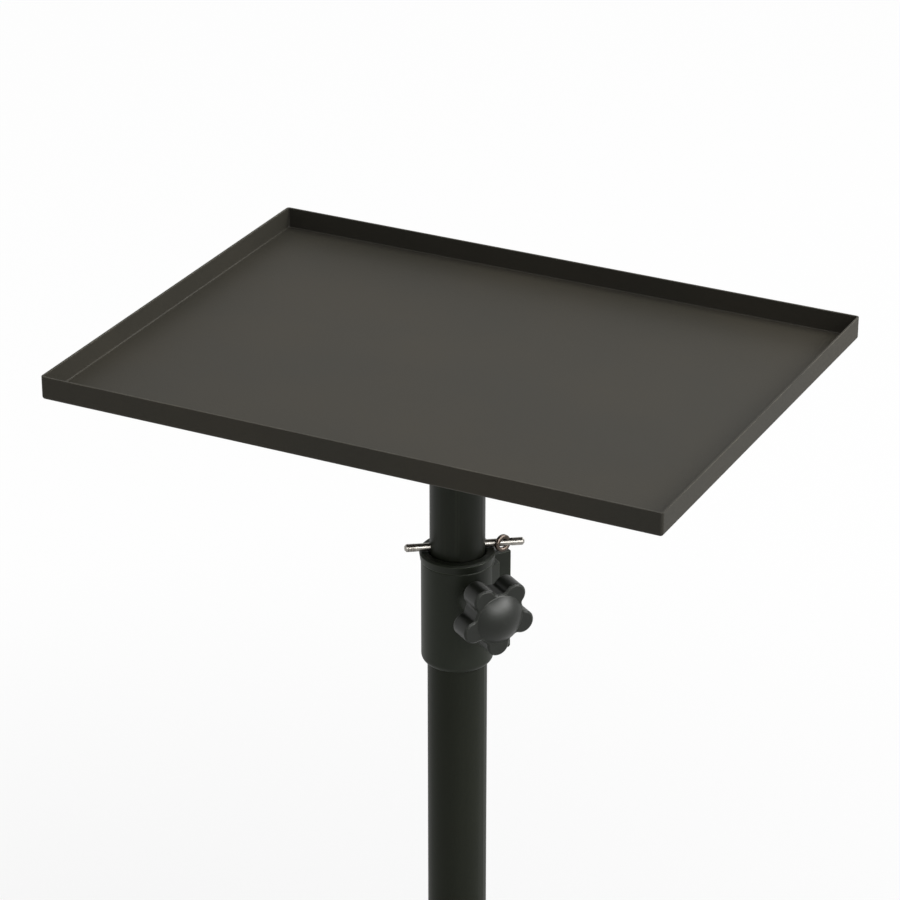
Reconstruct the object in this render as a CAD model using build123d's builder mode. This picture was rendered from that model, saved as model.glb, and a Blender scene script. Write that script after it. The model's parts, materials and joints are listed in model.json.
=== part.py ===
from build123d import *

import os
from math import asin, atan2, cos, degrees, hypot, radians, sin, sqrt

# Portable projector stand: a lipped sheet-steel tray on a telescopic mast over a tripod base.
# Millimetres, +Z up. The origin is on the floor under the mast's axis, and +X runs along the
# tray's long side. A bearing is an angle about the mast's axis, counted from +X towards +Y.

# Clearances: pieces that slide or turn in each other, pieces that are fixed to each other,
# and the pin in its holes
slide_gap = 0.3
fit_gap = 0.2
pin_gap = 0.2

# Lower tube: height of its foot over the floor
tube_foot = 100.0
tube_length = 559.5
tube_wall = 1.2

# Mast: how much of it shows between the pin's axis and the tray, and the room under its foot
mast_diameter = 35.0
mast_wall = 1.5
mast_showing = 121.5
mast_room = 63.0
pin_hole_pitch = 50.0
pin_hole_count = 8

# Tray, folded from one sheet with an upturned lip on all four sides
tray_length = 406.0
tray_width = 305.0
tray_lip = 15.0
tray_sheet = 1.2
tray_corner = 2.0
tray_bend = 2.0

# Flange plate under the tray, and the ribbed socket that turns on the mast's top
flange_side = 150.0
flange_sheet = 3.0
flange_corner = 14.0
socket_length = 55.0
socket_wall = 3.0
rib_reach = 34.0
rib_drop = 38.0
rib_sheet = 3.0
rib_nose = 5.0
rib_count = 4

# Safety pin: how far it stands out of the mast at its ring end and at its free end
pin_diameter = 5.0
pin_ring_end = 24.8
pin_free_end = 16.0
pin_nose = 1.2
pin_bearing = 34.6
ring_radius = 4.8
ring_wire = 1.9
ring_sides = 8
ring_inset = 9.5
ring_roll = 80.0

# Collar sleeve, with a screw boss on one side and a pair of pinch flanges beside it
collar_bearing = -34.4
sleeve_height = 71.5
sleeve_wall = 3.8
sleeve_round = 4.5
sleeve_edge = 0.8
boss_diameter = 22.0
boss_reach = 12.0
boss_edge = 1.0
pinch_drop = 2.5
pinch_reach = 13.6
pinch_half = 3.5
pinch_slit = 1.0
pinch_cut = 1.0
jaw_width = 13.5
jaw_reach = 22.7
jaw_height = 20.0
jaw_bearing = 30.0
screw_drop = 18.4

# Collar cap, a ring on top of the sleeve that guides the mast
cap_height = 6.2
cap_foot_overhang = 0.4
cap_top_overhang = 1.1
cap_edge = 1.2

# Lobed clamp knob with a dome on its face, and its screw
knob_lobes = 5
knob_core = 17.4
lobe_orbit = 17.8
lobe_radius = 7.6
lobe_turn = -20.0
knob_valley = 3.0
knob_depth = 14.6
knob_edge = 1.2
dome_radius = 16.0
dome_height = 6.8
knob_neck_diameter = 20.0
knob_neck = 4.2
knob_gap = 0.5
screw_diameter = 8.0
screw_in_knob = 9.0

# Tripod: bearings of the legs, and the pieces that carry them
leg_bearings = (30.0, 150.0, 270.0)
hub_top = 372.0
hub_height = 44.0
hub_wall = 6.0
hub_edge = 1.5
hub_knob_bearing = -30.0
hub_boss_reach = 7.0
lug_web = 5.0
lug_cheek = 4.0
lug_rim = 1.0
knuckle_radius = 10.0
knuckle_width = 12.0
knuckle_gap = 1.0
knuckle_shoulder = 5.0
knuckle_spigot = 28.0
leg_diameter = 22.0
leg_wall = 1.2
foot_radius = 335.0
foot_wall = 3.0
foot_sole = 16.0
foot_cup = 34.0
foot_edge = 1.5

# Braces from the base hub to the legs
base_hub_height = 38.0
brace_width = 16.0
brace_sheet = 4.0
brace_cheek = 3.0
brace_on_leg = 235.0
saddle_length = 24.0
saddle_wall = 3.3
pivot_diameter = 6.0
pivot_head = 10.0
pivot_head_height = 2.0
plug_flange = 4.0
plug_spigot = 20.0

# Radii that follow from the clearances
mast_radius = mast_diameter / 2
slide_radius = mast_radius + slide_gap
tube_radius = slide_radius + tube_wall
collar_bore = tube_radius + fit_gap
sleeve_radius = collar_bore + sleeve_wall
hub_radius = collar_bore + hub_wall
pin_radius = pin_diameter / 2
screw_radius = screw_diameter / 2
pivot_radius = pivot_diameter / 2
leg_radius = leg_diameter / 2

# Heights that follow from the pieces below
tube_top = tube_foot + tube_length
sleeve_foot = tube_top - sleeve_height
screw_height = tube_top - screw_drop
cap_top = tube_top + cap_height
pin_height = cap_top + slide_gap + pin_radius
tray_height = pin_height + mast_showing
flange_height = tray_height - flange_sheet
mast_top = flange_height - slide_gap
mast_foot = tube_foot + plug_spigot + mast_room
mast_length = mast_top - mast_foot

# Leg line in its upright plane, from its pivot in the hub to the middle of its sole
hub_foot = hub_top - hub_height
leg_pivot_radius = hub_radius + lug_web + knuckle_gap + knuckle_radius
leg_pivot_height = hub_top - hub_height / 2
leg_reach = foot_radius - leg_pivot_radius
leg_length = hypot(leg_reach, leg_pivot_height)
leg_angle = degrees(atan2(-leg_pivot_height, leg_reach))
lug_radius = knuckle_radius + lug_rim
leg_start = lug_radius + knuckle_gap + knuckle_shoulder

# Brace line in the same plane, from its pivot in the base hub to its pivot under the leg
base_pivot_radius = hub_radius + knuckle_gap + brace_width / 2
base_pivot_height = tube_foot + base_hub_height / 2
saddle_radius = leg_radius + fit_gap + saddle_wall
saddle_drop = saddle_radius + knuckle_gap + brace_width / 2


def at(bearing, radius, height):
    """Point at a bearing and a radius from the mast's axis, and a height."""
    return Vector(radius * cos(radians(bearing)), radius * sin(radians(bearing)), height)


def level(height, bearing=0.0):
    """Level plane whose x runs along a bearing."""
    return Plane(origin=(0, 0, height), x_dir=at(bearing, 1, 0), z_dir=(0, 0, 1))


def facing(bearing, radius, height):
    """Upright plane that faces outwards, with x to the left around the mast and y up."""
    return Plane(at(bearing, radius, height), x_dir=at(bearing + 90, 1, 0), z_dir=at(bearing, 1, 0))


def upright(bearing):
    """Upright plane through the mast's axis, with x along the bearing and y up."""
    return Plane((0, 0, 0), x_dir=at(bearing, 1, 0), z_dir=at(bearing - 90, 1, 0))


def leg_point(distance, inward=0.0):
    """Place in a leg's upright plane, at a distance from its pivot and a drop under its line."""
    turn = radians(leg_angle)
    radius = leg_pivot_radius + distance * cos(turn) + inward * sin(turn)
    height = leg_pivot_height + distance * sin(turn) - inward * cos(turn)
    return radius, height


def across_leg(bearing, distance):
    """Plane square to a leg, at a distance from its pivot, that looks towards its foot."""
    radius, height = leg_point(distance)
    run = at(bearing, cos(radians(leg_angle)), sin(radians(leg_angle)))
    return Plane(at(bearing, radius, height), x_dir=at(bearing + 90, 1, 0), z_dir=run)


def save(piece, name):
    """Label a finished piece and write it."""
    piece.part.label = name
    export_step(piece.part, f"parts/{name}.step")


def ring(outer, inner, height, plane):
    """Plain tube or ring on a plane."""
    with BuildPart() as piece:
        with BuildSketch(plane):
            Circle(outer)
            Circle(inner, mode=Mode.SUBTRACT)
        extrude(amount=height)
    return piece


def make_tray():
    """Sheet floor with rounded bends into its four lips."""
    with BuildPart() as tray:
        with BuildSketch(level(tray_height)):
            RectangleRounded(tray_length, tray_width, tray_corner)
        extrude(amount=tray_lip)
        fillet(tray.faces().sort_by(Axis.Z)[0].edges(), tray_bend)
        offset(amount=-tray_sheet, openings=tray.faces().sort_by(Axis.Z)[-1])
    return tray


def make_tray_flange():
    """Plate under the middle of the tray."""
    with BuildPart() as plate:
        with BuildSketch(level(flange_height)):
            RectangleRounded(flange_side, flange_side, flange_corner)
        extrude(amount=flange_sheet)
    return plate


def make_tray_socket():
    """Socket that stands over the mast's top, with ribs up to the flange plate."""
    socket_radius = slide_radius + socket_wall
    rib_end = socket_radius + rib_reach
    rib_foot = flange_height - rib_drop
    with BuildPart() as socket:
        with BuildSketch(level(flange_height - socket_length)):
            Circle(socket_radius)
        extrude(amount=socket_length)
        for turn in range(rib_count):
            with BuildSketch(upright(turn * 360 / rib_count)):
                with BuildLine():
                    Polyline(
                        (0, rib_foot),
                        (socket_radius + rib_nose, rib_foot),
                        (rib_end, flange_height - rib_nose),
                        (rib_end, flange_height),
                        (0, flange_height),
                        close=True,
                    )
                make_face()
            extrude(amount=rib_sheet / 2, both=True)
        with BuildSketch(level(flange_height - socket_length)):
            Circle(slide_radius)
        extrude(amount=socket_length, mode=Mode.SUBTRACT)
    return socket


def make_mast_tube():
    """Inner tube with a row of cross holes for the safety pin."""
    with BuildPart() as mast:
        with BuildSketch(level(mast_foot)):
            Circle(mast_radius)
            Circle(mast_radius - mast_wall, mode=Mode.SUBTRACT)
        extrude(amount=mast_length)
        with BuildSketch(facing(pin_bearing, 0, pin_height)):
            with Locations([(0, -step * pin_hole_pitch) for step in range(pin_hole_count)]):
                Circle(pin_radius + pin_gap)
        extrude(amount=mast_diameter, both=True, mode=Mode.SUBTRACT)
    return mast


def ring_plane():
    """Plane of the pull ring, which lies back over the pin from its hole near the pin's end."""
    hole = mast_radius + pin_ring_end - ring_inset
    lift = asin((pin_radius + ring_wire / 2 + fit_gap) / (2 * ring_radius))
    along = at(pin_bearing, 1, 0)
    across = at(pin_bearing + 90, cos(radians(ring_roll)), sin(radians(ring_roll)))
    over = along.cross(across)
    towards_mast = along * -cos(lift) + over * sin(lift)
    middle = at(pin_bearing, hole, pin_height) + towards_mast * ring_radius
    return Plane(middle, x_dir=across, z_dir=towards_mast.cross(across))


def make_safety_pin():
    """Round pin through the mast, with a cross hole wide enough for its curved pull ring."""
    pin_start = -(mast_radius + pin_free_end)
    pin_end = mast_radius + pin_ring_end
    ring_bow = ring_radius - sqrt(ring_radius**2 - pin_radius**2)
    with BuildPart() as pin:
        with BuildSketch(facing(pin_bearing, pin_start, pin_height)):
            Circle(pin_radius)
        extrude(amount=pin_end - pin_start)
        chamfer(pin.edges().filter_by(GeomType.CIRCLE), pin_nose)
        hole_point = at(pin_bearing, pin_end - ring_inset, pin_height)
        with BuildSketch(Plane(hole_point, z_dir=ring_plane().x_dir)):
            Circle(ring_wire / 2 + ring_bow + fit_gap)
        extrude(amount=pin_diameter, both=True, mode=Mode.SUBTRACT)
    return pin


def make_pin_ring():
    """Pull ring of wire with flats around it."""
    lie = ring_plane()
    with BuildPart() as pull:
        with BuildSketch(Plane(lie.origin, x_dir=lie.x_dir, z_dir=lie.y_dir)):
            with Locations((ring_radius, 0)):
                RegularPolygon(ring_wire / 2, ring_sides)
        revolve(axis=Axis(lie.origin, lie.z_dir))
    return pull


def make_collar_sleeve():
    """Moulded sleeve with its screw boss, pinch flanges and the jaws beside them."""
    boss_face = sleeve_radius + boss_reach
    pinch_end = sleeve_radius + pinch_reach
    pinch_top = tube_top - pinch_drop
    side = collar_bearing + 90
    with BuildPart() as sleeve:
        with BuildSketch(level(sleeve_foot)):
            Circle(sleeve_radius)
        extrude(amount=sleeve_height)
        fillet(sleeve.edges().sort_by(Axis.Z)[0], sleeve_round)
        chamfer(sleeve.edges().sort_by(Axis.Z)[-1], sleeve_edge)
        with BuildSketch(upright(side)):
            with BuildLine():
                Polyline(
                    (0, sleeve_foot),
                    (pinch_end - pinch_cut, sleeve_foot),
                    (pinch_end, sleeve_foot + pinch_cut),
                    (pinch_end, pinch_top),
                    (0, pinch_top),
                    close=True,
                )
            make_face()
        extrude(amount=pinch_half, both=True)
        with BuildSketch(level(pinch_top - jaw_height, collar_bearing)):
            with BuildLine():
                start = Vector(sleeve_radius - sleeve_edge, 0).rotate(Axis.Z, jaw_bearing)
                Polyline((0, 0), start, (jaw_width, jaw_reach), (0, jaw_reach), close=True)
            make_face()
            mirror(about=Plane.YZ)
        extrude(amount=jaw_height)
        with BuildSketch(facing(collar_bearing, 0, screw_height)):
            Circle(boss_diameter / 2)
        extrude(amount=boss_face)
        front = sleeve.faces().sort_by(Axis((0, 0, 0), at(collar_bearing, 1, 0)))[-1]
        chamfer(front.edges(), boss_edge)
        with BuildSketch(level(sleeve_foot)):
            Circle(collar_bore)
        extrude(amount=sleeve_height, mode=Mode.SUBTRACT)
        with BuildSketch(facing(side, 0, sleeve_foot)):
            Rectangle(pinch_slit, sleeve_height, align=(Align.CENTER, Align.MIN))
        extrude(amount=pinch_end, mode=Mode.SUBTRACT)
        with BuildSketch(facing(collar_bearing, 0, screw_height)):
            Circle(screw_radius + slide_gap)
        extrude(amount=boss_face, mode=Mode.SUBTRACT)
    return sleeve


def make_collar_cap():
    """Flared ring that closes the sleeve's top and guides the mast."""
    foot_rim = sleeve_radius + cap_foot_overhang
    top_rim = sleeve_radius + cap_top_overhang
    with BuildPart() as cap:
        with BuildSketch(Plane.XZ):
            with BuildLine():
                Polyline(
                    (slide_radius, tube_top),
                    (foot_rim, tube_top),
                    (top_rim, cap_top - cap_edge),
                    (top_rim - cap_edge, cap_top),
                    (slide_radius + cap_edge, cap_top),
                    (slide_radius, cap_top - cap_edge),
                    close=True,
                )
            make_face()
        revolve(axis=Axis.Z)
    return cap


def make_lower_tube():
    """Outer tube, with a hole where the clamp screw passes."""
    with BuildPart() as tube:
        with BuildSketch(level(tube_foot)):
            Circle(tube_radius)
            Circle(slide_radius, mode=Mode.SUBTRACT)
        extrude(amount=tube_length)
        with BuildSketch(facing(collar_bearing, 0, screw_height)):
            Circle(screw_radius + slide_gap)
        extrude(amount=tube_radius * 2, mode=Mode.SUBTRACT)
        with BuildSketch(facing(hub_knob_bearing, 0, leg_pivot_height)):
            Circle(screw_radius + slide_gap)
        extrude(amount=tube_radius * 2, mode=Mode.SUBTRACT)
    return tube


def make_knob(bearing, seat, height):
    """Lobed knob with a dome on its flat face and a neck at its back, on a seat at a radius."""
    neck_foot = seat + knob_gap
    back = neck_foot + knob_neck
    apex = back + knob_depth + dome_height
    ball = (dome_radius**2 + dome_height**2) / (2 * dome_height)
    outward = Axis(at(bearing, 0, height), at(bearing, 1, 0))
    with BuildPart() as knob:
        with BuildSketch(facing(bearing, back, height)) as star:
            Circle(knob_core)
            with PolarLocations(lobe_orbit, knob_lobes, lobe_turn):
                Circle(lobe_radius)
            fillet(star.vertices(), knob_valley)
        extrude(amount=knob_depth)
        chamfer(knob.faces().sort_by(outward)[-1].edges(), knob_edge)
        with BuildSketch(upright(bearing)):
            with BuildLine():
                dome = CenterArc((apex - ball, height), ball, 0, degrees(asin(dome_radius / ball)))
                Polyline(dome @ 1, (back, height + dome_radius), (back, height), dome @ 0)
            make_face()
        revolve(axis=outward)
        with BuildSketch(facing(bearing, neck_foot, height)):
            Circle(knob_neck_diameter / 2)
        extrude(amount=knob_neck)
        with BuildSketch(facing(bearing, neck_foot, height)):
            Circle(screw_radius + fit_gap)
        extrude(amount=screw_in_knob, mode=Mode.SUBTRACT)
    return knob


def make_screw(bearing, tip, seat, height):
    """Screw from its tip at a radius to its end in a knob."""
    with BuildPart() as screw:
        with BuildSketch(facing(bearing, tip, height)):
            Circle(screw_radius)
        extrude(amount=seat + knob_gap + screw_in_knob - tip)
    return screw


def make_leg_hub():
    """Hub on the lower tube, with a pair of cheeks for each leg and a boss for its screw."""
    cheek_half = knuckle_width / 2 + slide_gap + lug_cheek
    with BuildPart() as hub:
        with BuildSketch(level(hub_foot)):
            Circle(hub_radius)
        extrude(amount=hub_height)
        chamfer(hub.edges().filter_by(GeomType.CIRCLE), hub_edge)
        for bearing in leg_bearings:
            with BuildSketch(upright(bearing)):
                with Locations((leg_pivot_radius / 2, leg_pivot_height)):
                    SlotCenterToCenter(leg_pivot_radius, 2 * lug_radius)
            extrude(amount=cheek_half, both=True)
        with BuildSketch(facing(hub_knob_bearing, 0, leg_pivot_height)):
            Circle(boss_diameter / 2)
        extrude(amount=hub_radius + hub_boss_reach)
        for bearing in leg_bearings:
            with BuildSketch(facing(bearing, hub_radius + lug_web, leg_pivot_height)):
                Rectangle(knuckle_width + 2 * slide_gap, 2 * lug_radius)
            extrude(amount=2 * lug_radius + knuckle_gap, mode=Mode.SUBTRACT)
            with BuildSketch(upright(bearing)):
                with Locations((leg_pivot_radius, leg_pivot_height)):
                    Circle(pivot_radius + pin_gap)
            extrude(amount=cheek_half, both=True, mode=Mode.SUBTRACT)
        with BuildSketch(level(hub_foot)):
            Circle(collar_bore)
        extrude(amount=hub_height, mode=Mode.SUBTRACT)
        with BuildSketch(facing(hub_knob_bearing, 0, leg_pivot_height)):
            Circle(screw_radius + slide_gap)
        extrude(amount=hub_radius + hub_boss_reach, mode=Mode.SUBTRACT)
    return hub


def make_knuckle(bearing):
    """Leg's top fitting: an eye between the hub's cheeks, a shoulder and a spigot in the tube."""
    shoulder = leg_start - knuckle_shoulder
    spigot_radius = leg_radius - leg_wall - fit_gap
    with BuildPart() as knuckle:
        with BuildSketch(upright(bearing)):
            with Locations((leg_pivot_radius, leg_pivot_height)):
                Circle(knuckle_radius)
            with Locations(leg_point(shoulder / 2)):
                Rectangle(shoulder, 2 * knuckle_radius, rotation=leg_angle)
        extrude(amount=knuckle_width / 2, both=True)
        with BuildSketch(across_leg(bearing, shoulder)):
            Circle(leg_radius)
        extrude(amount=knuckle_shoulder)
        with BuildSketch(across_leg(bearing, leg_start)):
            Circle(spigot_radius)
        extrude(amount=knuckle_spigot)
        with BuildSketch(upright(bearing)):
            with Locations((leg_pivot_radius, leg_pivot_height)):
                Circle(pivot_radius + pin_gap)
        extrude(amount=knuckle_width, both=True, mode=Mode.SUBTRACT)
    return knuckle


def make_foot(bearing):
    """Rubber boot on a leg's end, cut flat where it stands on the floor."""
    leg_end = leg_length - foot_sole
    boot_start = leg_end - foot_cup
    boot_radius = leg_radius + fit_gap + foot_wall
    with BuildPart() as foot:
        with BuildSketch(across_leg(bearing, boot_start)):
            Circle(boot_radius)
        extrude(amount=foot_cup + foot_sole + 2 * boot_radius)
        chamfer(foot.edges().sort_by(Axis.Z)[-1], foot_edge)
        with BuildSketch(across_leg(bearing, boot_start)):
            Circle(leg_radius + fit_gap)
        extrude(amount=foot_cup + fit_gap, mode=Mode.SUBTRACT)
        split(bisect_by=Plane.XY, keep=Keep.TOP)
    return foot


def make_saddle(bearing):
    """Clamp on a leg, with a pair of cheeks under it for the brace."""
    cheek_half = brace_sheet / 2 + fit_gap + brace_cheek
    pivot = leg_point(brace_on_leg, saddle_drop)
    with BuildPart() as saddle:
        with BuildSketch(across_leg(bearing, brace_on_leg - saddle_length / 2)):
            Circle(saddle_radius)
        extrude(amount=saddle_length)
        with BuildSketch(upright(bearing)):
            with Locations(pivot):
                Circle(brace_width / 2)
            with Locations(leg_point(brace_on_leg, saddle_drop / 2)):
                Rectangle(brace_width, saddle_drop, rotation=leg_angle)
        extrude(amount=cheek_half, both=True)
        with BuildSketch(upright(bearing)):
            with Locations(leg_point(brace_on_leg, saddle_radius + saddle_drop / 2)):
                Rectangle(saddle_length + brace_width, saddle_drop, rotation=leg_angle)
        extrude(amount=brace_sheet / 2 + fit_gap, both=True, mode=Mode.SUBTRACT)
        with BuildSketch(upright(bearing)):
            with Locations(pivot):
                Circle(pivot_radius + pin_gap)
        extrude(amount=cheek_half, both=True, mode=Mode.SUBTRACT)
        with BuildSketch(across_leg(bearing, brace_on_leg - saddle_length / 2)):
            Circle(leg_radius + fit_gap)
        extrude(amount=saddle_length, mode=Mode.SUBTRACT)
    return saddle


def make_brace(bearing):
    """Flat bar with rounded ends from the base hub to a leg's saddle."""
    end_radius, end_height = leg_point(brace_on_leg, saddle_drop)
    reach = end_radius - base_pivot_radius
    rise = end_height - base_pivot_height
    middle = ((end_radius + base_pivot_radius) / 2, (end_height + base_pivot_height) / 2)
    with BuildPart() as brace:
        with BuildSketch(upright(bearing)):
            with Locations(middle):
                SlotCenterToCenter(hypot(reach, rise), brace_width, rotation=degrees(atan2(rise, reach)))
            with Locations((base_pivot_radius, base_pivot_height), (end_radius, end_height)):
                Circle(pivot_radius + pin_gap, mode=Mode.SUBTRACT)
        extrude(amount=brace_sheet / 2, both=True)
    return brace


def make_base_hub():
    """Ring at the lower tube's foot, with a pair of cheeks for each brace."""
    cheek_half = brace_sheet / 2 + fit_gap + brace_cheek
    with BuildPart() as hub:
        with BuildSketch(level(tube_foot)):
            Circle(hub_radius)
        extrude(amount=base_hub_height)
        chamfer(hub.edges().filter_by(GeomType.CIRCLE), hub_edge)
        for bearing in leg_bearings:
            with BuildSketch(upright(bearing)):
                with Locations((base_pivot_radius / 2, base_pivot_height)):
                    SlotCenterToCenter(base_pivot_radius, brace_width)
            extrude(amount=cheek_half, both=True)
        for bearing in leg_bearings:
            with BuildSketch(facing(bearing, hub_radius, base_pivot_height)):
                Rectangle(brace_sheet + 2 * fit_gap, brace_width)
            extrude(amount=2 * brace_width, mode=Mode.SUBTRACT)
            with BuildSketch(upright(bearing)):
                with Locations((base_pivot_radius, base_pivot_height)):
                    Circle(pivot_radius + pin_gap)
            extrude(amount=cheek_half, both=True, mode=Mode.SUBTRACT)
        with BuildSketch(level(tube_foot)):
            Circle(collar_bore)
        extrude(amount=base_hub_height, mode=Mode.SUBTRACT)
    return hub


def make_base_plug():
    """Plug that closes the lower tube's foot."""
    with BuildPart() as plug:
        with BuildSketch(level(tube_foot - plug_flange)):
            Circle(tube_radius)
        extrude(amount=plug_flange)
        chamfer(plug.edges().sort_by(Axis.Z)[0], hub_edge)
        with BuildSketch(level(tube_foot)):
            Circle(slide_radius - fit_gap)
        extrude(amount=plug_spigot)
    return plug


def make_pivot_pins(place, cheek_half):
    """Headed pins, one on each leg's bearing, at a place in its upright plane."""
    with BuildPart() as pins:
        for bearing in leg_bearings:
            with BuildSketch(upright(bearing)):
                with Locations(place):
                    Circle(pivot_radius)
            extrude(amount=cheek_half + pivot_head_height, both=True)
            for outside in (cheek_half, -cheek_half - pivot_head_height):
                with BuildSketch(upright(bearing).offset(outside)):
                    with Locations(place):
                        Circle(pivot_head / 2)
                extrude(amount=pivot_head_height)
    return pins


os.makedirs("parts", exist_ok=True)

save(make_tray(), "tray")
save(make_tray_flange(), "tray_flange")
save(make_tray_socket(), "tray_socket")
save(make_mast_tube(), "mast_tube")
save(make_safety_pin(), "safety_pin")
save(make_pin_ring(), "pin_ring")
save(make_collar_sleeve(), "collar_sleeve")
save(make_collar_cap(), "collar_cap")
save(make_lower_tube(), "lower_tube")

clamp_seat = sleeve_radius + boss_reach
save(make_knob(collar_bearing, clamp_seat, screw_height), "clamp_knob")
save(make_screw(collar_bearing, mast_radius + slide_gap, clamp_seat, screw_height), "clamp_screw")

hub_seat = hub_radius + hub_boss_reach
save(make_leg_hub(), "leg_hub")
save(make_knob(hub_knob_bearing, hub_seat, leg_pivot_height), "hub_knob")
save(make_screw(hub_knob_bearing, tube_radius - tube_wall / 2, hub_seat, leg_pivot_height), "hub_screw")

leg_run = leg_length - foot_sole - leg_start
for number, bearing in enumerate(leg_bearings, start=1):
    leg_bore = leg_radius - leg_wall
    save(ring(leg_radius, leg_bore, leg_run, across_leg(bearing, leg_start)), f"leg_tube_{number}")
    save(make_knuckle(bearing), f"leg_knuckle_{number}")
    save(make_foot(bearing), f"leg_foot_{number}")
    save(make_saddle(bearing), f"brace_saddle_{number}")
    save(make_brace(bearing), f"brace_{number}")

save(make_base_hub(), "base_hub")
save(make_base_plug(), "base_plug")

leg_pivot = (leg_pivot_radius, leg_pivot_height)
base_pivot = (base_pivot_radius, base_pivot_height)
brace_half = brace_sheet / 2 + fit_gap + brace_cheek
save(make_pivot_pins(leg_pivot, knuckle_width / 2 + slide_gap + lug_cheek), "leg_pivot_pins")
save(make_pivot_pins(leg_point(brace_on_leg, saddle_drop), brace_half), "brace_saddle_pins")
save(make_pivot_pins(base_pivot, brace_half), "brace_base_pins")
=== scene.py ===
import json
from functools import cached_property
from math import asin, cos, pi, radians, sin

import bpy
from bpy.props import FloatProperty, FloatVectorProperty, PointerProperty
from mathutils import Matrix, Vector


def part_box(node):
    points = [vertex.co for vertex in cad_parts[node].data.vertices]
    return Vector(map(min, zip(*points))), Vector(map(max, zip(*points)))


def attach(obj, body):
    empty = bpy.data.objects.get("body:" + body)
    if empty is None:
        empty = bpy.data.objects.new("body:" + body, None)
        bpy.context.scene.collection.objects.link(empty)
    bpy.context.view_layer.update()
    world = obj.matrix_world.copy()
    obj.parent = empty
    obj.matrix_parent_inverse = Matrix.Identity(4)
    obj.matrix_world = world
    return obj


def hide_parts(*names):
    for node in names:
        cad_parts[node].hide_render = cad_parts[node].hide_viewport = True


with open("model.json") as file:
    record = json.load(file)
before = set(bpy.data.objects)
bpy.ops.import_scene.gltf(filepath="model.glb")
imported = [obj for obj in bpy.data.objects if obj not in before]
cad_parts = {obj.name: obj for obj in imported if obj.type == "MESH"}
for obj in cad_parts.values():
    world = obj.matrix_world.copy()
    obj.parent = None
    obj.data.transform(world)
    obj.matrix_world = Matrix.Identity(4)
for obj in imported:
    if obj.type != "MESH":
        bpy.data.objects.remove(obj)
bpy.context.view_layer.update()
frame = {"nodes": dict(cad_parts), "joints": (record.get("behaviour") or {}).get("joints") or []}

bl_info = {
    "name": "Projector stand",
    "version": (1, 0, 0),
    "blender": (4, 5, 0),
    "location": "View3D > Sidebar > Stand",
    "description": "Finishes and small fittings of a portable projector stand",
    "category": "Object",
}

NODES = frame["nodes"]
AXES = {joint["name"]: Vector(joint["axis"]) for joint in frame["joints"]}
LEGS = (1, 2, 3)
PIVOT_PINS = ("leg_pivot_pins", "brace_saddle_pins", "brace_base_pins")

ORIGIN = (0.0, 0.0, 0.0)
UP = Vector((0.0, 0.0, 1.0))
FULL_TURN = 2 * pi
QUARTER_TURN = pi / 2

# Lengths in metres, as everything here.
MERGE_DISTANCE = 1e-6
RIM_DEPTH = 0.0005
CORNER_REACH = 0.004
SOLE_RADIUS = 0.335
COLLAR_MIDDLE = Vector((0.0, 0.0, 0.63))

# Least cosine between +Z and a face that looks up, and between a leg and the points on it.
LOOKS_UP = 0.9
ON_LEG = 0.8
SMOOTH_ANGLE = radians(35.0)
EDGE_SAMPLES = 6

# Sockets of the Mix node that hold colours.
MIX_FIRST, MIX_SECOND, MIX_RESULT = 6, 7, 2

WHITE = (1.0, 1.0, 1.0, 1.0)
FLOOR_GREY = (0.85, 0.85, 0.85, 1.0)
FLOOR_ROUGHNESS = 0.9
# Between two distances from the mast, the share of plain white in the floor rises.
SHADE_START, SHADE_END = 0.40, 1.40
WHITE_START, WHITE_END = 0.68, 0.97

SENSOR_WIDTH = 36.0
VIEW_DEPTH = 100.0

# Lamps around the collar: name, the stage's value that holds the power, bearing from +X and
# elevation in degrees, width and height, and whether it lights more than glossy surfaces.
LAMPS = (
    ("key_softbox", "key_power", 15.0, 41.0, (1.5, 1.5), True),
    ("gloss_card", "card_power", -14.0, 37.0, (4.0, 2.5), False),
    ("front_card", "front_card_power", -60.0, 66.0, (1.8, 0.9), False),
    ("top_softbox", "top_power", 40.0, 72.0, (1.6, 1.6), True),
    ("rim_softbox", "rim_power", 80.0, 18.0, (0.8, 1.2), True),
)


class StandColours(bpy.types.PropertyGroup):
    """Colours of the finishes."""

    tray: FloatVectorProperty(
        name="Tray coat", description="Powder coat of the tray", subtype="COLOR",
        default=(0.0370, 0.0342, 0.0262), min=0.0, max=1.0)
    tube: FloatVectorProperty(
        name="Tube coat", description="Powder coat of the tubes and braces", subtype="COLOR",
        default=(0.0122, 0.0146, 0.0088), min=0.0, max=1.0)
    moulding: FloatVectorProperty(
        name="Mouldings", description="Plastic of the collar, hubs and leg fittings",
        subtype="COLOR", default=(0.0140, 0.0175, 0.0104), min=0.0, max=1.0)
    knob: FloatVectorProperty(
        name="Knobs", description="Plastic of the lobed knobs", subtype="COLOR",
        default=(0.0112, 0.0132, 0.0090), min=0.0, max=1.0)
    rubber: FloatVectorProperty(
        name="Feet", description="Rubber of the feet", subtype="COLOR",
        default=(0.016, 0.016, 0.015), min=0.0, max=1.0)
    steel: FloatVectorProperty(
        name="Steel", description="Plated steel of the pin, screws and rivets", subtype="COLOR",
        default=(0.30, 0.285, 0.26), min=0.0, max=1.0)
    # Darker, browner steel of the pin's thread and pull ring: painted shade between the thread's
    # ridges and on the ring, beside some tarnish.
    tarnish_and_shade: FloatVectorProperty(
        name="Tarnish", description="Tarnished steel of the pin's thread and pull ring",
        subtype="COLOR", default=(0.070, 0.056, 0.047), min=0.0, max=1.0)


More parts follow.
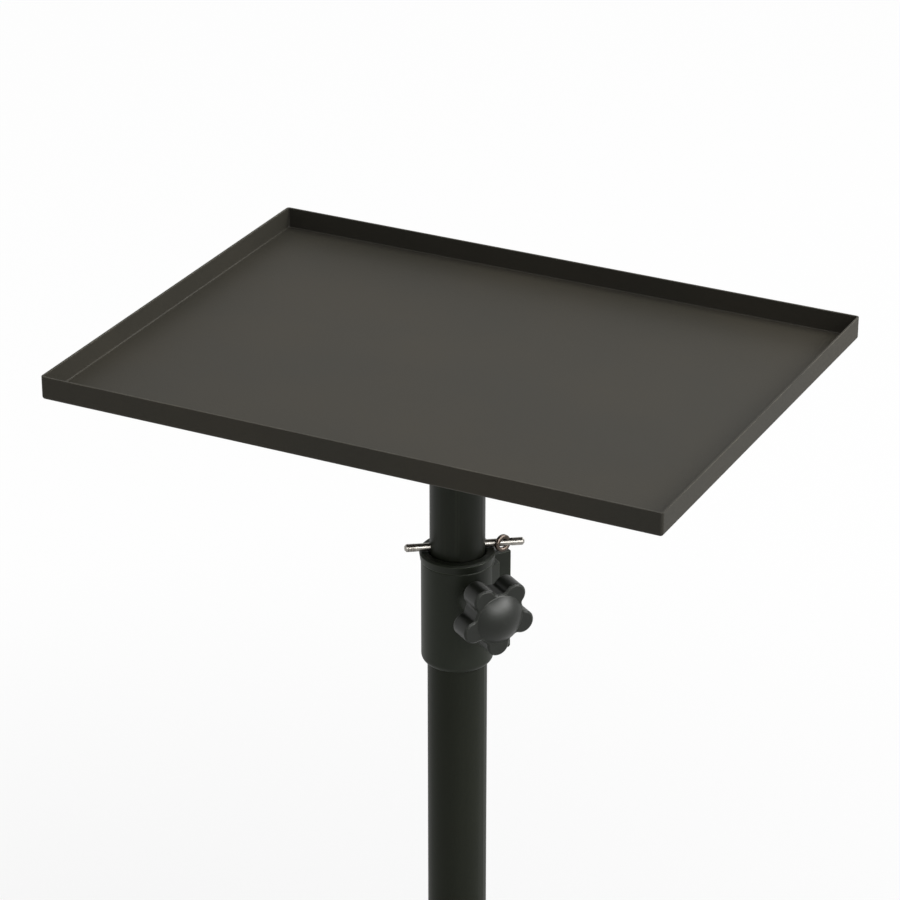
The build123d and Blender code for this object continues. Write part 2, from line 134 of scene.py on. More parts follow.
class StandFittings(bpy.types.PropertyGroup):
    """Sizes of the small fittings."""

    ring_wire: FloatProperty(
        name="Ring wire", description="Thickness of the pull ring's flat wire", unit="LENGTH",
        default=0.0026)
    ring_coil: FloatProperty(
        name="Ring coil", description="Height of each of the pull ring's two coils",
        unit="LENGTH", default=0.0015)
    ring_radius: FloatProperty(
        name="Ring radius", description="Radius of the pull ring at the middle of its wire",
        unit="LENGTH", default=0.0043)
    ring_roll: FloatProperty(
        name="Ring roll", description="Turn of the pull ring about its pin", subtype="ANGLE",
        default=radians(80.0))
    thread_pitch: FloatProperty(
        name="Pin thread", description="Pitch of the thread on the pin's free end", unit="LENGTH",
        default=0.0010)
    screw_head: FloatProperty(
        name="Screw head", description="Diameter of the pinch screw's head", unit="LENGTH",
        default=0.0095)
    nut_width: FloatProperty(
        name="Nut", description="Width of the pinch nut over its corners", unit="LENGTH",
        default=0.0092)
    rivet_rise: FloatProperty(
        name="Rivet dome", description="Rise of the domes on the rivet heads", unit="LENGTH",
        default=0.0012)
    rib_pitch: FloatProperty(
        name="Foot ribs", description="Step between the ribs of a foot", unit="LENGTH",
        default=0.0065)
    weld_width: FloatProperty(
        name="Weld", description="Width of the weld beads under the tray", unit="LENGTH",
        default=0.0034)


class StandStage(bpy.types.PropertyGroup):
    """Camera, floor and light."""

    camera_place: FloatVectorProperty(
        name="Camera", description="Place of the camera", subtype="TRANSLATION", unit="LENGTH",
        default=(0.8814, -1.7636, 1.6842))
    camera_azimuth: FloatProperty(
        name="Azimuth", description="Turn of the camera about the mast", subtype="ANGLE",
        default=radians(26.69))
    camera_elevation: FloatProperty(
        name="Elevation", description="How far the camera looks down", subtype="ANGLE",
        default=radians(25.72))
    camera_lens: FloatProperty(
        name="Lens", description="Focal length in millimetres on a 36 mm sensor", default=141.6)
    floor_side: FloatProperty(
        name="Floor", description="Side of the studio floor", unit="LENGTH", default=40.0)
    lamp_distance: FloatProperty(
        name="Lamp distance", description="From the collar to the lamps", unit="LENGTH",
        default=3.0)
    surround: FloatProperty(
        name="Surround", description="Light of the white surround on the stand", default=0.34)
    key_power: FloatProperty(
        name="Key lamp", description="Power of the lamp on the right", unit="POWER", default=64.0)
    card_power: FloatProperty(
        name="Gloss card", description="Power of the card that shows in glossy surfaces only",
        unit="POWER", default=380.0)
    front_card_power: FloatProperty(
        name="Front card",
        description="Power of the card overhead that shows in glossy surfaces only",
        unit="POWER", default=45.0)
    top_power: FloatProperty(
        name="Top lamp", description="Power of the lamp overhead", unit="POWER", default=14.0)
    rim_power: FloatProperty(
        name="Rim lamp", description="Power of the lamp behind on the right", unit="POWER",
        default=20.0)


class Wire:
    """A shader socket that takes part in Python arithmetic."""

    def __init__(self, tree, socket):
        self.tree = tree
        self.socket = socket

    def maths(self, operation, *values):
        """A Math node on these values."""
        node = self.tree.nodes.new("ShaderNodeMath")
        node.operation = operation
        for socket, value in zip(node.inputs, values):
            feed(self.tree, socket, value)
        return Wire(self.tree, node.outputs[0])

    def __add__(self, other):
        return self.maths("ADD", self, other)

    def __radd__(self, other):
        return self.maths("ADD", other, self)

    def __sub__(self, other):
        return self.maths("SUBTRACT", self, other)

    def __rsub__(self, other):
        return self.maths("SUBTRACT", other, self)

    def __mul__(self, other):
        return self.maths("MULTIPLY", self, other)

    def __rmul__(self, other):
        return self.maths("MULTIPLY", other, self)


def feed(tree, socket, value):
    """Link a wire to a socket, or set the socket's value."""
    if isinstance(value, Wire):
        tree.links.new(value.socket, socket)
    else:
        socket.default_value = value


class Finish:
    """A material or world whose nodes come from one method."""

    def __init__(self, block, shader):
        block.use_nodes = True
        self.block = block
        self.tree = block.node_tree
        self.shader = self.tree.nodes[shader]

    @cached_property
    def place(self):
        """Object coordinates of the surface."""
        return self.add("ShaderNodeTexCoord", out="Object")

    def add(self, kind, settings=None, sockets=None, out=0):
        """Make a node: its settings first, then its sockets. Returns one of its outputs."""
        node = self.tree.nodes.new(kind)
        for key, value in (settings or {}).items():
            setattr(node, key, value)
        for key, value in (sockets or {}).items():
            feed(self.tree, node.inputs[key], value)
        return Wire(self.tree, node.outputs[out])

    def put(self, name, value):
        """Set or link one of the shader's sockets."""
        feed(self.tree, self.shader.inputs[name], value)

    def noise(self, scale, detail=2.0, roughness=0.5, place=None):
        """Noise from 0 to 1, with a scale in waves a metre."""
        sockets = {
            "Vector": place or self.place,
            "Scale": scale,
            "Detail": detail,
            "Roughness": roughness,
        }
        return self.add("ShaderNodeTexNoise", sockets=sockets, out="Fac")

    def stretched(self, scale):
        """Object coordinates, drawn out or packed along each axis."""
        sockets = {"Vector": self.place, "Scale": scale}
        return self.add("ShaderNodeMapping", sockets=sockets, out="Vector")

    def span(self, value, low, high, start=0.0, end=1.0):
        """A value from low to high, spread smoothly from start to end."""
        sockets = {
            "Value": value,
            "From Min": low,
            "From Max": high,
            "To Min": start,
            "To Max": end,
        }
        smooth = {"interpolation_type": "SMOOTHSTEP"}
        return self.add("ShaderNodeMapRange", smooth, sockets, "Result")

    def blend(self, factor, first, second):
        """A colour between two colours."""
        sockets = {"Factor": factor, MIX_FIRST: first, MIX_SECOND: second}
        return self.add("ShaderNodeMix", {"data_type": "RGBA"}, sockets, MIX_RESULT)

    def soft_edge(self, radius):
        """Normal of the surface with its edges rounded off."""
        return self.add("ShaderNodeBevel", {"samples": EDGE_SAMPLES}, {"Radius": radius}, "Normal")

    def edge_mask(self, soft):
        """1 on the outer edges of the surface, 0 on its flat parts and inner corners."""
        true = self.add("ShaderNodeNewGeometry", out="True Normal")
        same = self.add(
            "ShaderNodeVectorMath", {"operation": "DOT_PRODUCT"}, {0: soft, 1: true}, "Value")
        bare = self.add(
            "ShaderNodeAmbientOcclusion", {"samples": EDGE_SAMPLES, "only_local": True},
            {"Distance": CORNER_REACH}, "AO")
        bent = self.span(1.0 - same, low=0.01, high=0.20)
        outer = self.span(bare, low=0.70, high=0.92)
        return bent * outer

    def bump(self, height, strength, distance, soft):
        """Bump from a height over a soft-edged normal, to the shader's normal."""
        sockets = {
            "Height": height,
            "Strength": strength,
            "Distance": distance,
            "Normal": soft,
        }
        self.put("Normal", self.add("ShaderNodeBump", sockets=sockets, out="Normal"))


def new_finish(name):
    """A new material to build a finish on."""
    return Finish(bpy.data.materials.new(name), "Principled BSDF")


def opaque(colour, lift=1.0, warmth=0.0):
    """A colour with its alpha, made lighter or darker and warmer or cooler."""
    red, green, blue = colour
    return (red * lift * (1 + warmth), green * lift, blue * lift * (1 - warmth), 1.0)


def powder_coat(name, colour, roughness, gloss):
    """Baked powder coat: pebbled skin, slow change of tone, paler on rubbed edges, with a painted
    highlight along the edges.
    """
    coat = new_finish(name)
    soft = coat.soft_edge(radius=0.0007)
    cloud = coat.noise(scale=9.0, detail=3.0)
    speck = coat.noise(scale=2600.0)
    pebble = coat.noise(scale=1100.0)
    patches = coat.span(coat.noise(scale=70.0, detail=3.0), low=0.25, high=0.65)
    # Edges made paler: partly rubbed wear, partly a painted highlight along the edges.
    rubbed_and_highlit = coat.edge_mask(soft) * patches
    tone = coat.span(cloud, low=0.3, high=0.7) * 0.6 + speck * 0.4
    deep = opaque(colour, lift=0.90, warmth=-0.02)
    pale = opaque(colour, lift=1.10, warmth=0.04)
    # Edge colour lifted far above the coat's own tone: wear and a painted highlight.
    worn_and_highlit = opaque(colour, lift=3.4)
    coat.put("Base Color", coat.blend(rubbed_and_highlit, coat.blend(tone, deep, pale), worn_and_highlit))
    coat.put("Roughness", roughness + 0.10 * cloud + 0.06 * speck - 0.10 * rubbed_and_highlit)
    coat.put("Specular IOR Level", gloss)
    coat.bump(pebble, strength=0.16, distance=0.0004, soft=soft)
    return coat.block


def slid_coat(name, colour, roughness, gloss):
    """Powder coat of a sliding tube: lengthwise rub marks from its collar over pebbled skin."""
    coat = new_finish(name)
    soft = coat.soft_edge(radius=0.0005)
    cloud = coat.noise(scale=12.0, detail=3.0)
    pebble = coat.noise(scale=1500.0)
    streak = coat.noise(scale=1.0, roughness=0.6, place=coat.stretched((420.0, 420.0, 5.0)))
    marks = coat.span(streak, low=0.52, high=0.78)
    skin = coat.blend(cloud, opaque(colour, lift=0.85), opaque(colour, lift=1.15))
    coat.put("Base Color", coat.blend(marks * 0.5, skin, opaque(colour, lift=1.8)))
    coat.put("Roughness", roughness + 0.08 * cloud - 0.10 * marks)
    coat.put("Specular IOR Level", gloss)
    coat.bump(pebble - 0.4 * marks, strength=0.12, distance=0.0003, soft=soft)
    return coat.block


def moulded_plastic(name, colour, grain, roughness, gloss):
    """Moulded plastic with a fine spark-eroded grain, polished by hands on its edges and painted
    paler there as a highlight.
    """
    plastic = new_finish(name)
    soft = plastic.soft_edge(radius=0.0008)
    edge = plastic.edge_mask(soft)
    cloud = plastic.noise(scale=25.0)
    pit = plastic.noise(scale=grain, detail=3.0, roughness=0.6)
    skin = plastic.blend(cloud, opaque(colour, lift=0.85), opaque(colour, lift=1.15))
    # Edges lifted to 5.5 times the colour: a painted highlight along the edges, beside the hand
    # polish.
    plastic.put("Base Color", plastic.blend(edge * 0.9, skin, opaque(colour, lift=5.5)))
    plastic.put("Roughness", roughness + 0.12 * pit - 0.08 * edge)
    plastic.put("Specular IOR Level", gloss)
    plastic.bump(pit, strength=0.10, distance=0.0003, soft=soft)
    return plastic.block


def plated_steel(name, colour):
    """Plated steel with fine drawing marks and a dull, uneven tone."""
    steel = new_finish(name)
    soft = steel.soft_edge(radius=0.0003)
    cloud = steel.noise(scale=420.0, detail=3.0)
    marks = steel.noise(scale=5200.0)
    tone = steel.blend(cloud, opaque(colour, lift=0.70), opaque(colour, lift=1.20))
    steel.put("Base Color", tone)
    steel.put("Metallic", 1.0)
    steel.put("Roughness", 0.24 + 0.16 * cloud)
    steel.bump(marks, strength=0.05, distance=0.0001, soft=soft)
    return steel.block


def foot_rubber(name, colour):
    """Dull rubber, greyed by dust."""
    rubber = new_finish(name)
    soft = rubber.soft_edge(radius=0.0010)
    cloud = rubber.noise(scale=60.0, detail=4.0)
    pit = rubber.noise(scale=1400.0, detail=3.0)
    tone = rubber.blend(cloud, opaque(colour, lift=0.8), opaque(colour, lift=1.5))
    rubber.put("Base Color", tone)
    rubber.put("Roughness", 0.72 + 0.16 * cloud)
    rubber.put("Specular IOR Level", 0.2)
    rubber.bump(pit, strength=0.2, distance=0.0004, soft=soft)
    return rubber.block


def dress(material, *names):
    """Give CAD nodes a material."""
    for name in names:
        slots = NODES[name].data.materials
        slots.clear()
        slots.append(material)


class STAND_OT_finish_tray(bpy.types.Operator):
    """Coat the tray, its flange plate and its socket"""

    bl_idname = "stand.finish_tray"
    bl_label = "Tray"

    def execute(self, context):
        colour = context.scene.stand_colours.tray
        coat = powder_coat("tray_coat", colour, roughness=0.46, gloss=0.12)
        dress(coat, "tray", "tray_flange", "tray_socket")
        return {"FINISHED"}


class STAND_OT_finish_tubes(bpy.types.Operator):
    """Coat the tubes and braces"""

    bl_idname = "stand.finish_tubes"
    bl_label = "Tubes and braces"

    def execute(self, context):
        colour = context.scene.stand_colours.tube
        dress(slid_coat("mast_coat", colour, roughness=0.40, gloss=0.13), "mast_tube")
        coat = powder_coat("tube_coat", colour, roughness=0.40, gloss=0.10)
        dress(coat, "lower_tube")
        for number in LEGS:
            dress(coat, f"leg_tube_{number}", f"brace_{number}")
        return {"FINISHED"}


class STAND_OT_finish_mouldings(bpy.types.Operator):
    """Finish the moulded collar, hubs and leg fittings"""

    bl_idname = "stand.finish_mouldings"
    bl_label = "Mouldings"

    def execute(self, context):
        colour = context.scene.stand_colours.moulding
        plastic = moulded_plastic(
            "collar_plastic", colour, grain=1800.0, roughness=0.40, gloss=0.16)
        dress(plastic, "collar_sleeve", "collar_cap", "leg_hub", "base_hub", "base_plug")
        for number in LEGS:
            dress(plastic, f"leg_knuckle_{number}", f"brace_saddle_{number}")
        return {"FINISHED"}


class STAND_OT_finish_knobs(bpy.types.Operator):
    """Finish the lobed knobs"""

    bl_idname = "stand.finish_knobs"
    bl_label = "Knobs"

    def execute(self, context):
        colour = context.scene.stand_colours.knob
        plastic = moulded_plastic(
            "knob_plastic", colour, grain=2200.0, roughness=0.36, gloss=0.27)
        dress(plastic, "clamp_knob", "hub_knob")
        return {"FINISHED"}


class STAND_OT_finish_steel(bpy.types.Operator):
    """Finish the pin, its ring, the screws and the pivot pins"""

    bl_idname = "stand.finish_steel"
    bl_label = "Steel"

    def execute(self, context):
        colours = context.scene.stand_colours
        # The pull ring takes the darker steel: painted shade beside some tarnish.
        dress(plated_steel("tarnished_steel", colours.tarnish_and_shade), "pin_ring")
        steel = plated_steel("plated_steel", colours.steel)
        dress(steel, "safety_pin", "clamp_screw", "hub_screw", *PIVOT_PINS)
        return {"FINISHED"}


class STAND_OT_finish_feet(bpy.types.Operator):
    """Finish the rubber feet"""

    bl_idname = "stand.finish_feet"
    bl_label = "Feet"

    def execute(self, context):
        rubber = foot_rubber("foot_rubber", context.scene.stand_colours.rubber)
        dress(rubber, *(f"leg_foot_{number}" for number in LEGS))
        return {"FINISHED"}


def points_of(node):
    """Points of a CAD node's mesh."""
    return [vertex.co for vertex in NODES[node].data.vertices]


def reach(points, direction):
    """Nearest and farthest reach of some points along a direction."""
    steps = [point.dot(direction) for point in points]
    return min(steps), max(steps)


def bearing_of(number):
    """Direction of a leg, level and outwards from the mast."""
    points = points_of(f"leg_foot_{number}")
    middle = sum(points, Vector()) / len(points)
    return Vector((middle.x, middle.y, 0.0)).normalized()


def pin_middles(node):
    """Middle of each leg's pin in a node of pivot pins, with its axis and half its length."""
    points = points_of(node)
    for number in LEGS:
        outward = bearing_of(number)
        axis = UP.cross(outward)
        own = [p for p in points if p.dot(outward) > Vector((p.x, p.y)).length * ON_LEG]
        middle = Vector()
        for direction in (outward, axis, UP):
            low, high = reach(own, direction)
            middle += direction * (low + high) / 2
        low, high = reach(own, axis)
        yield middle, axis, (high - low) / 2


def turn_to(axis):
    """Turn that takes +Z to an axis."""
    return axis.to_track_quat("Z", "Y").to_euler()


def take_up(*pieces):
    """Select these pieces alone, with the first one active."""
    bpy.ops.object.select_all(action="DESELECT")
    for piece in pieces:
        piece.select_set(True)
    bpy.context.view_layer.objects.active = pieces[0]
    return pieces[0]


def join(*pieces):
    """Make one piece of several."""
    piece = take_up(*pieces)
    bpy.ops.object.join()
    return piece


def copy_of(piece):
    """A copy of a piece, with its own mesh."""
    take_up(piece)
    bpy.ops.object.duplicate(linked=False)
    return bpy.context.object


def apply_place(piece, place=ORIGIN, turn=ORIGIN):
    """Move a piece's place, turn and scale into its mesh."""
    take_up(piece)
    piece.location = place
    piece.rotation_euler = turn
    bpy.ops.object.transform_apply(location=True, rotation=True, scale=True)


def choose_faces(piece, test=lambda normal: True):
    """Go into edit mode with the faces selected whose normal passes a test, or with all."""
    take_up(piece)
    bpy.context.tool_settings.mesh_select_mode = (False, False, True)
    for part in (*piece.data.vertices, *piece.data.edges):
        part.select = False
    for face in piece.data.polygons:
        face.select = test(face.normal)
    bpy.ops.object.mode_set(mode="EDIT")


def close_mesh(piece):
    """Merge doubles, close open ends and turn the faces outwards."""
    choose_faces(piece)
    bpy.ops.mesh.remove_doubles(threshold=MERGE_DISTANCE)
    bpy.ops.mesh.fill_holes(sides=0)
    bpy.ops.mesh.normals_make_consistent(inside=False)
    bpy.ops.object.mode_set(mode="OBJECT")


def bevel_top(piece, offset, segments):
    """Round the edge of a piece's upper face."""
    choose_faces(piece, lambda normal: normal.z > LOOKS_UP)
    bpy.ops.mesh.bevel(offset=offset, segments=segments, affect="EDGES")
    bpy.ops.object.mode_set(mode="OBJECT")


def cut_out(piece, cutter):
    """Take a cutter's shape out of a piece."""
    take_up(piece)
    bpy.ops.object.modifier_add(type="BOOLEAN")
    cut = piece.modifiers[-1]
    cut.object = cutter
    bpy.ops.object.modifier_apply(modifier=cut.name)
    bpy.data.objects.remove(cutter)


def repeat(piece, count, step):
    """Make one piece of a row of its copies, a step apart."""
    take_up(piece)
    bpy.ops.object.modifier_add(type="ARRAY")
    row = piece.modifiers[-1]
    row.count = count
    row.use_relative_offset = False
    row.use_constant_offset = True
    row.constant_offset_displace = step
    bpy.ops.object.modifier_apply(modifier=row.name)


def add_round(corners, radius, foot, top):
    """Upright prism or cylinder about Z."""
    bpy.ops.mesh.primitive_cylinder_add(
        vertices=corners, radius=radius, depth=top - foot, location=(0.0, 0.0, (top + foot) / 2))
    piece = bpy.context.object
    bpy.ops.object.transform_apply(location=True, rotation=True, scale=True)
    return piece


def add_section(corners, half_width, half_height, radius, height):
    """Upright outline of a wire or rib, at a radius from Z and a height."""
    bpy.ops.mesh.primitive_circle_add(vertices=corners, radius=1.0)
    section = bpy.context.object
    section.scale = (half_width, half_height, 1.0)
    apply_place(section, (radius, 0.0, height), (QUARTER_TURN, 0.0, 0.0))
    return section


def wind_coil(section, pitch, turns, steps):
    """Wind a section about Z into a coil with closed ends."""
    take_up(section)
    bpy.ops.object.modifier_add(type="SCREW")
    wind = section.modifiers[-1]
    wind.screw_offset = pitch
    wind.iterations = turns
    wind.steps = wind.render_steps = steps
    bpy.ops.object.modifier_apply(modifier=wind.name)
    close_mesh(section)
    return section


def shape_screw_head(radius, height):
    """Domed screw head over a washer, with a hexagonal recess."""
    washer_radius, recess_radius = radius * 1.15, radius * 0.42
    seam, crown = height * 0.3, height * 1.3
    recess_floor, recess_mouth = height * 0.7, height * 1.6
    washer = add_round(corners=36, radius=washer_radius, foot=0.0, top=seam)
    bevel_top(washer, offset=height * 0.08, segments=2)
    head = add_round(corners=36, radius=radius, foot=seam, top=crown)
    bevel_top(head, offset=height * 0.7, segments=5)
    recess = add_round(corners=6, radius=recess_radius, foot=recess_floor, top=recess_mouth)
    cut_out(head, recess)
    return join(head, washer)


def shape_nut(width):
    """Hexagonal nut with the end of its screw."""
    nut_top, tail_radius, tail_top = width * 0.42, width * 0.27, width * 0.60
    nut = add_round(corners=6, radius=width / 2, foot=0.0, top=nut_top)
    bevel_top(nut, offset=width * 0.06, segments=2)
    tail = add_round(corners=28, radius=tail_radius, foot=0.0, top=tail_top)
    bevel_top(tail, offset=width * 0.07, segments=1)
    return join(nut, tail)


def settle(piece, name, material, body):
    """Name and smooth a finished piece, give it its material and let it ride on its body."""
    take_up(piece)
    bpy.ops.object.shade_smooth_by_angle(angle=SMOOTH_ANGLE)
    piece.name = name
    piece.data.name = name
    piece.data.materials.append(bpy.data.materials[material])
    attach(piece, body)


class STAND_OT_wind_pull_ring(bpy.types.Operator):
    """Wind the pin's split pull ring, two coils of flat wire"""

    bl_idname = "stand.wind_pull_ring"
    bl_label = "Pull ring"

    def execute(self, context):
        sizes = context.scene.stand_fittings
        coil, turns = sizes.ring_coil, 2
        wire = add_section(
            corners=12, half_width=sizes.ring_wire / 2, half_height=coil / 2,
            radius=sizes.ring_radius, height=-coil * turns / 2)
        ring = wind_coil(wire, coil, turns, steps=64)
        low, high = (Vector(corner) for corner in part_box("pin_ring"))
        along = AXES["pin_pull"]
        across = UP.cross(along) * cos(sizes.ring_roll) + UP * sin(sizes.ring_roll)
        over = along.cross(across)
        pin_foot, pin_top = reach(points_of("safety_pin"), UP)
        lift = asin(((pin_top - pin_foot) / 2 + coil) / (2 * sizes.ring_radius))
        to_mast = over * sin(lift) - along * cos(lift)
        lie = Matrix((to_mast, across, to_mast.cross(across))).transposed()
        apply_place(ring, (low + high) / 2, lie.to_euler())
        settle(ring, "pull_ring", "tarnished_steel", "pin")
        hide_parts("pin_ring")
        return {"FINISHED"}


class STAND_OT_wind_pin_thread(bpy.types.Operator):
    """Wind the thread on the pin's free end"""

    bl_idname = "stand.wind_pin_thread"
    bl_label = "Pin thread"

    def execute(self, context):
        pitch = context.scene.stand_fittings.thread_pitch
        turns, plain_turns = 5, 1.8
        sunk = pitch * 0.16
        along = AXES["pin_pull"]
        points = points_of("safety_pin")
        end = reach(points, along)[0]
        low, high = reach(points, UP)
        ridge = add_section(
            corners=4, half_width=pitch * 0.30, half_height=pitch * 0.42,
            radius=(high - low) / 2 - sunk, height=-pitch * turns / 2)
        thread = wind_coil(ridge, pitch, turns, steps=28)
        place = along * (end + pitch * (turns / 2 + plain_turns)) + UP * (high + low) / 2
        apply_place(thread, place, turn_to(along))
        # Darker steel on the thread paints shade, so its ridges read as dark marks on the pin.
        settle(thread, "pin_thread", "tarnished_steel", "pin")
        return {"FINISHED"}


class STAND_OT_build_pinch_screw(bpy.types.Operator):
    """Build the screw and nut that draw the collar's flanges together"""

    bl_idname = "stand.build_pinch_screw"
    bl_label = "Pinch screw"

    def execute(self, context):
        sizes = context.scene.stand_fittings
        inset, head_height = sizes.screw_head * 0.72, sizes.screw_head * 0.30
        front = AXES["clamp_knob_turn"]
        side = UP.cross(front)
        points = points_of("collar_sleeve")
        outer = reach(points, side)[1]
        rim = [point for point in points if point.dot(side) > outer - RIM_DEPTH]
        half = reach(rim, front)[1]
        low, high = reach(rim, UP)
        place = side * (outer - inset) + UP * (high + low) / 2
        head = shape_screw_head(sizes.screw_head / 2, head_height)
        apply_place(head, place - front * half, turn_to(-front))
        settle(head, "pinch_screw", "plated_steel", "base")
        nut = shape_nut(sizes.nut_width)
        apply_place(nut, place + front * half, turn_to(front))
        settle(nut, "pinch_nut", "plated_steel", "base")
        return {"FINISHED"}


class STAND_OT_build_rivet_domes(bpy.types.Operator):
    """Build the domes on the heads of the pivot pins"""

    bl_idname = "stand.build_rivet_domes"
    bl_label = "Rivet domes"

    def execute(self, context):
        rise = context.scene.stand_fittings.rivet_rise
        head_radius = 0.0048
        ball = (head_radius**2 + rise**2) / (2 * rise)
        bpy.ops.mesh.primitive_uv_sphere_add(segments=28, ring_count=56, radius=ball)
        dome = bpy.context.object
        apply_place(dome, (0.0, 0.0, rise - ball))
        choose_faces(dome)
        bpy.ops.mesh.bisect(plane_co=ORIGIN, plane_no=UP, use_fill=True, clear_inner=True)
        bpy.ops.object.mode_set(mode="OBJECT")
        close_mesh(dome)
        for node in PIVOT_PINS:
            for number, (middle, axis, half) in zip(LEGS, pin_middles(node)):
                for side, way in (("left", 1.0), ("right", -1.0)):
                    head = copy_of(dome)
                    apply_place(head, middle + axis * half * way, turn_to(axis * way))
                    name = f"{node}_{number}_{side}_dome"
                    settle(head, name, "plated_steel", "base")
        bpy.data.objects.remove(dome)
        return {"FINISHED"}


class STAND_OT_build_foot_ribs(bpy.types.Operator):
    """Build the gripping ribs around the rubber feet"""

    bl_idname = "stand.build_foot_ribs"
    bl_label = "Foot ribs"

    def execute(self, context):
        pitch = context.scene.stand_fittings.rib_pitch
        boot_radius, first_height, count = 0.0142, 0.0265, 3
        ribs = add_section(
            corners=10, half_width=0.0008, half_height=0.0015,
            radius=boot_radius, height=first_height)
        bpy.ops.object.mode_set(mode="EDIT")
        bpy.ops.mesh.select_all(action="SELECT")
        bpy.ops.mesh.spin(steps=56, angle=FULL_TURN, center=ORIGIN, axis=UP)
        bpy.ops.object.mode_set(mode="OBJECT")
        close_mesh(ribs)
        repeat(ribs, count, UP * pitch)
        for number, (pivot, *_) in zip(LEGS, pin_middles("leg_pivot_pins")):
            sole = bearing_of(number) * SOLE_RADIUS
            own = copy_of(ribs)
            apply_place(own, sole, turn_to((pivot - sole).normalized()))
            settle(own, f"foot_ribs_{number}", "foot_rubber", "base")
        bpy.data.objects.remove(ribs)
        return {"FINISHED"}


class STAND_OT_lay_welds(bpy.types.Operator):
    """Lay the weld beads that join the socket and its ribs to the flange plate"""

    bl_idname = "stand.lay_welds"
    bl_label = "Welds"

    def execute(self, context):
        width = context.scene.stand_fittings.weld_width
        rib_half, socket_radius = 0.0015, 0.0208
        flatness, spacing = 0.8, 0.45
        step = width * spacing
        end, top = Vector(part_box("tray_socket")[1]).xz
        bpy.ops.mesh.primitive_uv_sphere_add(segments=10, ring_count=6, radius=width / 2)
        bead = bpy.context.object
        bead.scale = (flatness, 1.0, flatness)
        apply_place(bead)
        run = copy_of(bead)
        repeat(run, int((end - socket_radius - width) / step), (step, 0.0, 0.0))
        far = copy_of(run)
        apply_place(run, (socket_radius + width / 2, rib_half, top))
        apply_place(far, (socket_radius + width / 2, -rib_half, top))
        gap = asin((rib_half + width / 2) / socket_radius)
        sweep = QUARTER_TURN - 2 * gap
        apply_place(bead, (socket_radius * cos(gap), socket_radius * sin(gap), top))
        choose_faces(bead)
        bpy.ops.mesh.spin(
            dupli=True, steps=int(sweep * socket_radius / step), angle=sweep,
            center=ORIGIN, axis=UP)
        bpy.ops.object.mode_set(mode="OBJECT")
        quarter = join(bead, run, far)
        quarters = [quarter]
        for turn in (1, 2, 3):
            quarters.append(copy_of(quarter))
            apply_place(quarters[-1], turn=(0.0, 0.0, turn * QUARTER_TURN))
        settle(join(*quarters), "socket_welds", "tray_coat", "tray")
        return {"FINISHED"}


class STAND_OT_build_socket_screw(bpy.types.Operator):
    """Build the screw that holds the tray's socket on the mast"""

    bl_idname = "stand.build_socket_screw"
    bl_label = "Socket screw"

    def execute(self, context):
        head_radius, head_height, seat_radius, rise = 0.0042, 0.0026, 0.0206, 0.009
        foot = Vector(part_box("tray_socket")[0]).z
        outward = Vector((-1.0, 1.0, 0.0)).normalized()
        screw = shape_screw_head(head_radius, head_height)
        apply_place(screw, outward * seat_radius + UP * (foot + rise), turn_to(outward))
        settle(screw, "socket_screw", "plated_steel", "tray")
        return {"FINISHED"}


def seen_white(finish):
    """1 for the rays that show the background, to the camera or in metal and glass."""
    seen = finish.add("ShaderNodeLightPath", out="Is Camera Ray")
    seen = seen + finish.add("ShaderNodeLightPath", out="Is Glossy Ray")
    seen = seen + finish.add("ShaderNodeLightPath", out="Is Transmission Ray")
    return seen.maths("MINIMUM", seen, 1.0)


def add_softbox(name, bearing, elevation, distance, size):
    """Area lamp at a bearing, an elevation and a distance from the collar, looking at it."""
    away = Vector((cos(bearing) * cos(elevation), sin(bearing) * cos(elevation), sin(elevation)))
    turn = (-away).to_track_quat("-Z", "Y").to_euler()
    place = COLLAR_MIDDLE + away * distance
    bpy.ops.object.light_add(type="AREA", location=place, rotation=turn)
    lamp = bpy.context.object
    lamp.name = name
    lamp.data.shape = "RECTANGLE"
    lamp.data.size, lamp.data.size_y = size
    return lamp


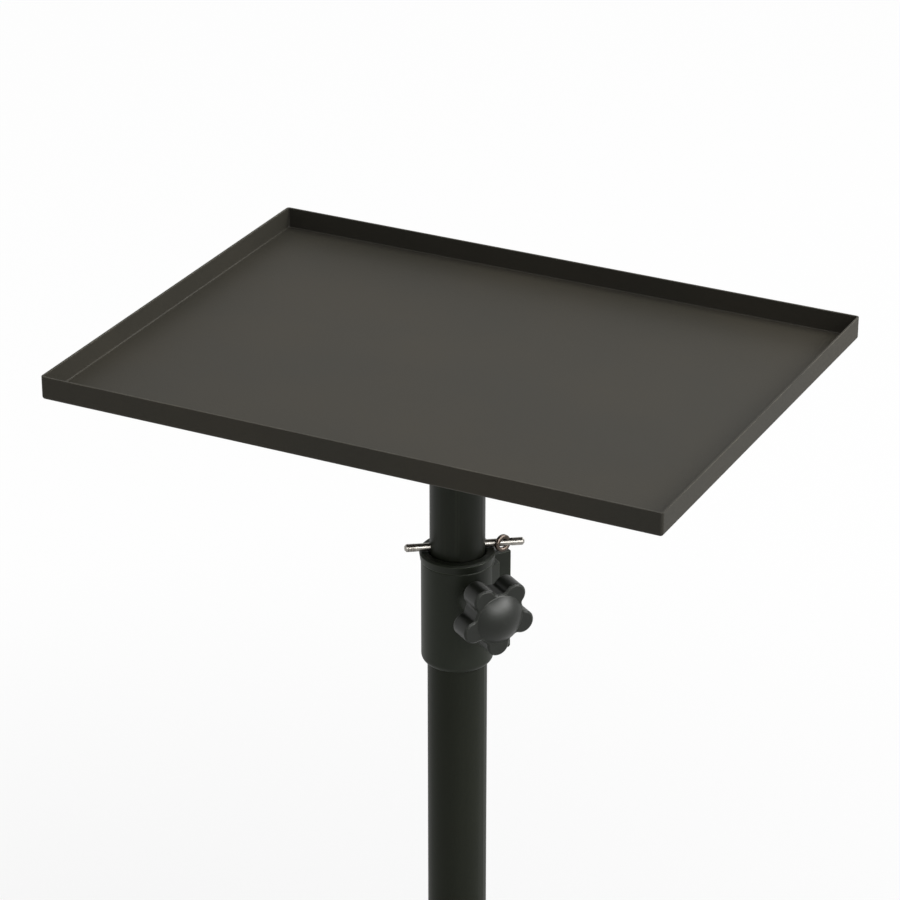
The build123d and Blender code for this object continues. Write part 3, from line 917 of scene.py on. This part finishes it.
class STAND_OT_build_stage(bpy.types.Operator):
    """Lay the floor and set the light and the camera"""

    bl_idname = "stand.build_stage"
    bl_label = "Stage"

    def execute(self, context):
        stage = context.scene.stand_stage
        self.lay_floor(stage)
        self.set_world(context.scene, stage)
        self.hang_lamps(stage)
        self.set_camera(context.scene, stage)
        context.scene.view_settings.view_transform = "Standard"
        return {"FINISHED"}

    def lay_floor(self, stage):
        """Pale floor that is white to the camera and keeps the stand's shadow."""
        bpy.ops.mesh.primitive_plane_add(size=stage.floor_side)
        floor = bpy.context.object
        floor.name = "studio_floor"
        paint = new_finish("floor_paint")
        paint.put("Base Color", FLOOR_GREY)
        paint.put("Roughness", FLOOR_ROUGHNESS)
        coat = Wire(paint.tree, paint.shader.outputs[0])
        glow = paint.add("ShaderNodeEmission", sockets={"Color": WHITE, "Strength": 1.0})
        away = paint.add(
            "ShaderNodeVectorMath", {"operation": "LENGTH"}, {0: paint.place}, "Value")
        white = paint.span(away, SHADE_START, SHADE_END, WHITE_START, WHITE_END)
        layers = {0: seen_white(paint) * white, 1: coat, 2: glow}
        mix = paint.add("ShaderNodeMixShader", sockets=layers)
        feed(paint.tree, paint.tree.nodes["Material Output"].inputs["Surface"], mix)
        floor.data.materials.append(paint.block)

    def set_world(self, scene, stage):
        """White surround for the eye and for reflections, softer as a light."""
        scene.world = bpy.data.worlds.new("studio_world")
        sky = Finish(scene.world, "Background")
        sky.put("Color", WHITE)
        sky.put("Strength", seen_white(sky) * (1.0 - stage.surround) + stage.surround)

    def hang_lamps(self, stage):
        """Soft lamps on the right, overhead and behind, and two cards that only gloss shows."""
        for name, power, bearing, elevation, size, lights_all in LAMPS:
            lamp = add_softbox(
                name, radians(bearing), radians(elevation), stage.lamp_distance, size)
            lamp.data.energy = getattr(stage, power)
            lamp.visible_diffuse = lights_all

    def set_camera(self, scene, stage):
        """Camera at the photograph's viewing angle."""
        tilt = (QUARTER_TURN - stage.camera_elevation, 0.0, stage.camera_azimuth)
        bpy.ops.object.camera_add(location=stage.camera_place, rotation=tilt)
        camera = bpy.context.object
        camera.data.sensor_width = SENSOR_WIDTH
        camera.data.lens = stage.camera_lens
        camera.data.clip_end = VIEW_DEPTH
        scene.camera = camera


class STAND_PT_stand(bpy.types.Panel):
    """The stand's operators and values"""

    bl_label = "Projector stand"
    bl_idname = "STAND_PT_stand"
    bl_space_type = "VIEW_3D"
    bl_region_type = "UI"
    bl_category = "Stand"

    def draw(self, context):
        scene = context.scene
        for group in (scene.stand_colours, scene.stand_fittings, scene.stand_stage):
            for key in group.__annotations__:
                self.layout.prop(group, key)
        for operator in OPERATORS:
            self.layout.operator(operator.bl_idname)


GROUPS = (StandColours, StandFittings, StandStage)
OPERATORS = (
    STAND_OT_finish_tray,
    STAND_OT_finish_tubes,
    STAND_OT_finish_mouldings,
    STAND_OT_finish_knobs,
    STAND_OT_finish_steel,
    STAND_OT_finish_feet,
    STAND_OT_wind_pull_ring,
    STAND_OT_wind_pin_thread,
    STAND_OT_build_pinch_screw,
    STAND_OT_build_rivet_domes,
    STAND_OT_build_foot_ribs,
    STAND_OT_lay_welds,
    STAND_OT_build_socket_screw,
    STAND_OT_build_stage,
)


def register():
    for cls in (*GROUPS, *OPERATORS, STAND_PT_stand):
        bpy.utils.register_class(cls)
    bpy.types.Scene.stand_colours = PointerProperty(type=StandColours)
    bpy.types.Scene.stand_fittings = PointerProperty(type=StandFittings)
    bpy.types.Scene.stand_stage = PointerProperty(type=StandStage)


def unregister():
    del bpy.types.Scene.stand_stage
    del bpy.types.Scene.stand_fittings
    del bpy.types.Scene.stand_colours
    for cls in reversed((*GROUPS, *OPERATORS, STAND_PT_stand)):
        bpy.utils.unregister_class(cls)


def main():
    register()
    bpy.ops.stand.finish_tray()
    bpy.ops.stand.finish_tubes()
    bpy.ops.stand.finish_mouldings()
    bpy.ops.stand.finish_knobs()
    bpy.ops.stand.finish_steel()
    bpy.ops.stand.finish_feet()
    bpy.ops.stand.wind_pull_ring()
    bpy.ops.stand.wind_pin_thread()
    bpy.ops.stand.build_pinch_screw()
    bpy.ops.stand.build_rivet_domes()
    bpy.ops.stand.build_foot_ribs()
    bpy.ops.stand.lay_welds()
    bpy.ops.stand.build_socket_screw()
    bpy.ops.stand.build_stage()


if __name__ == "__main__":
    main()
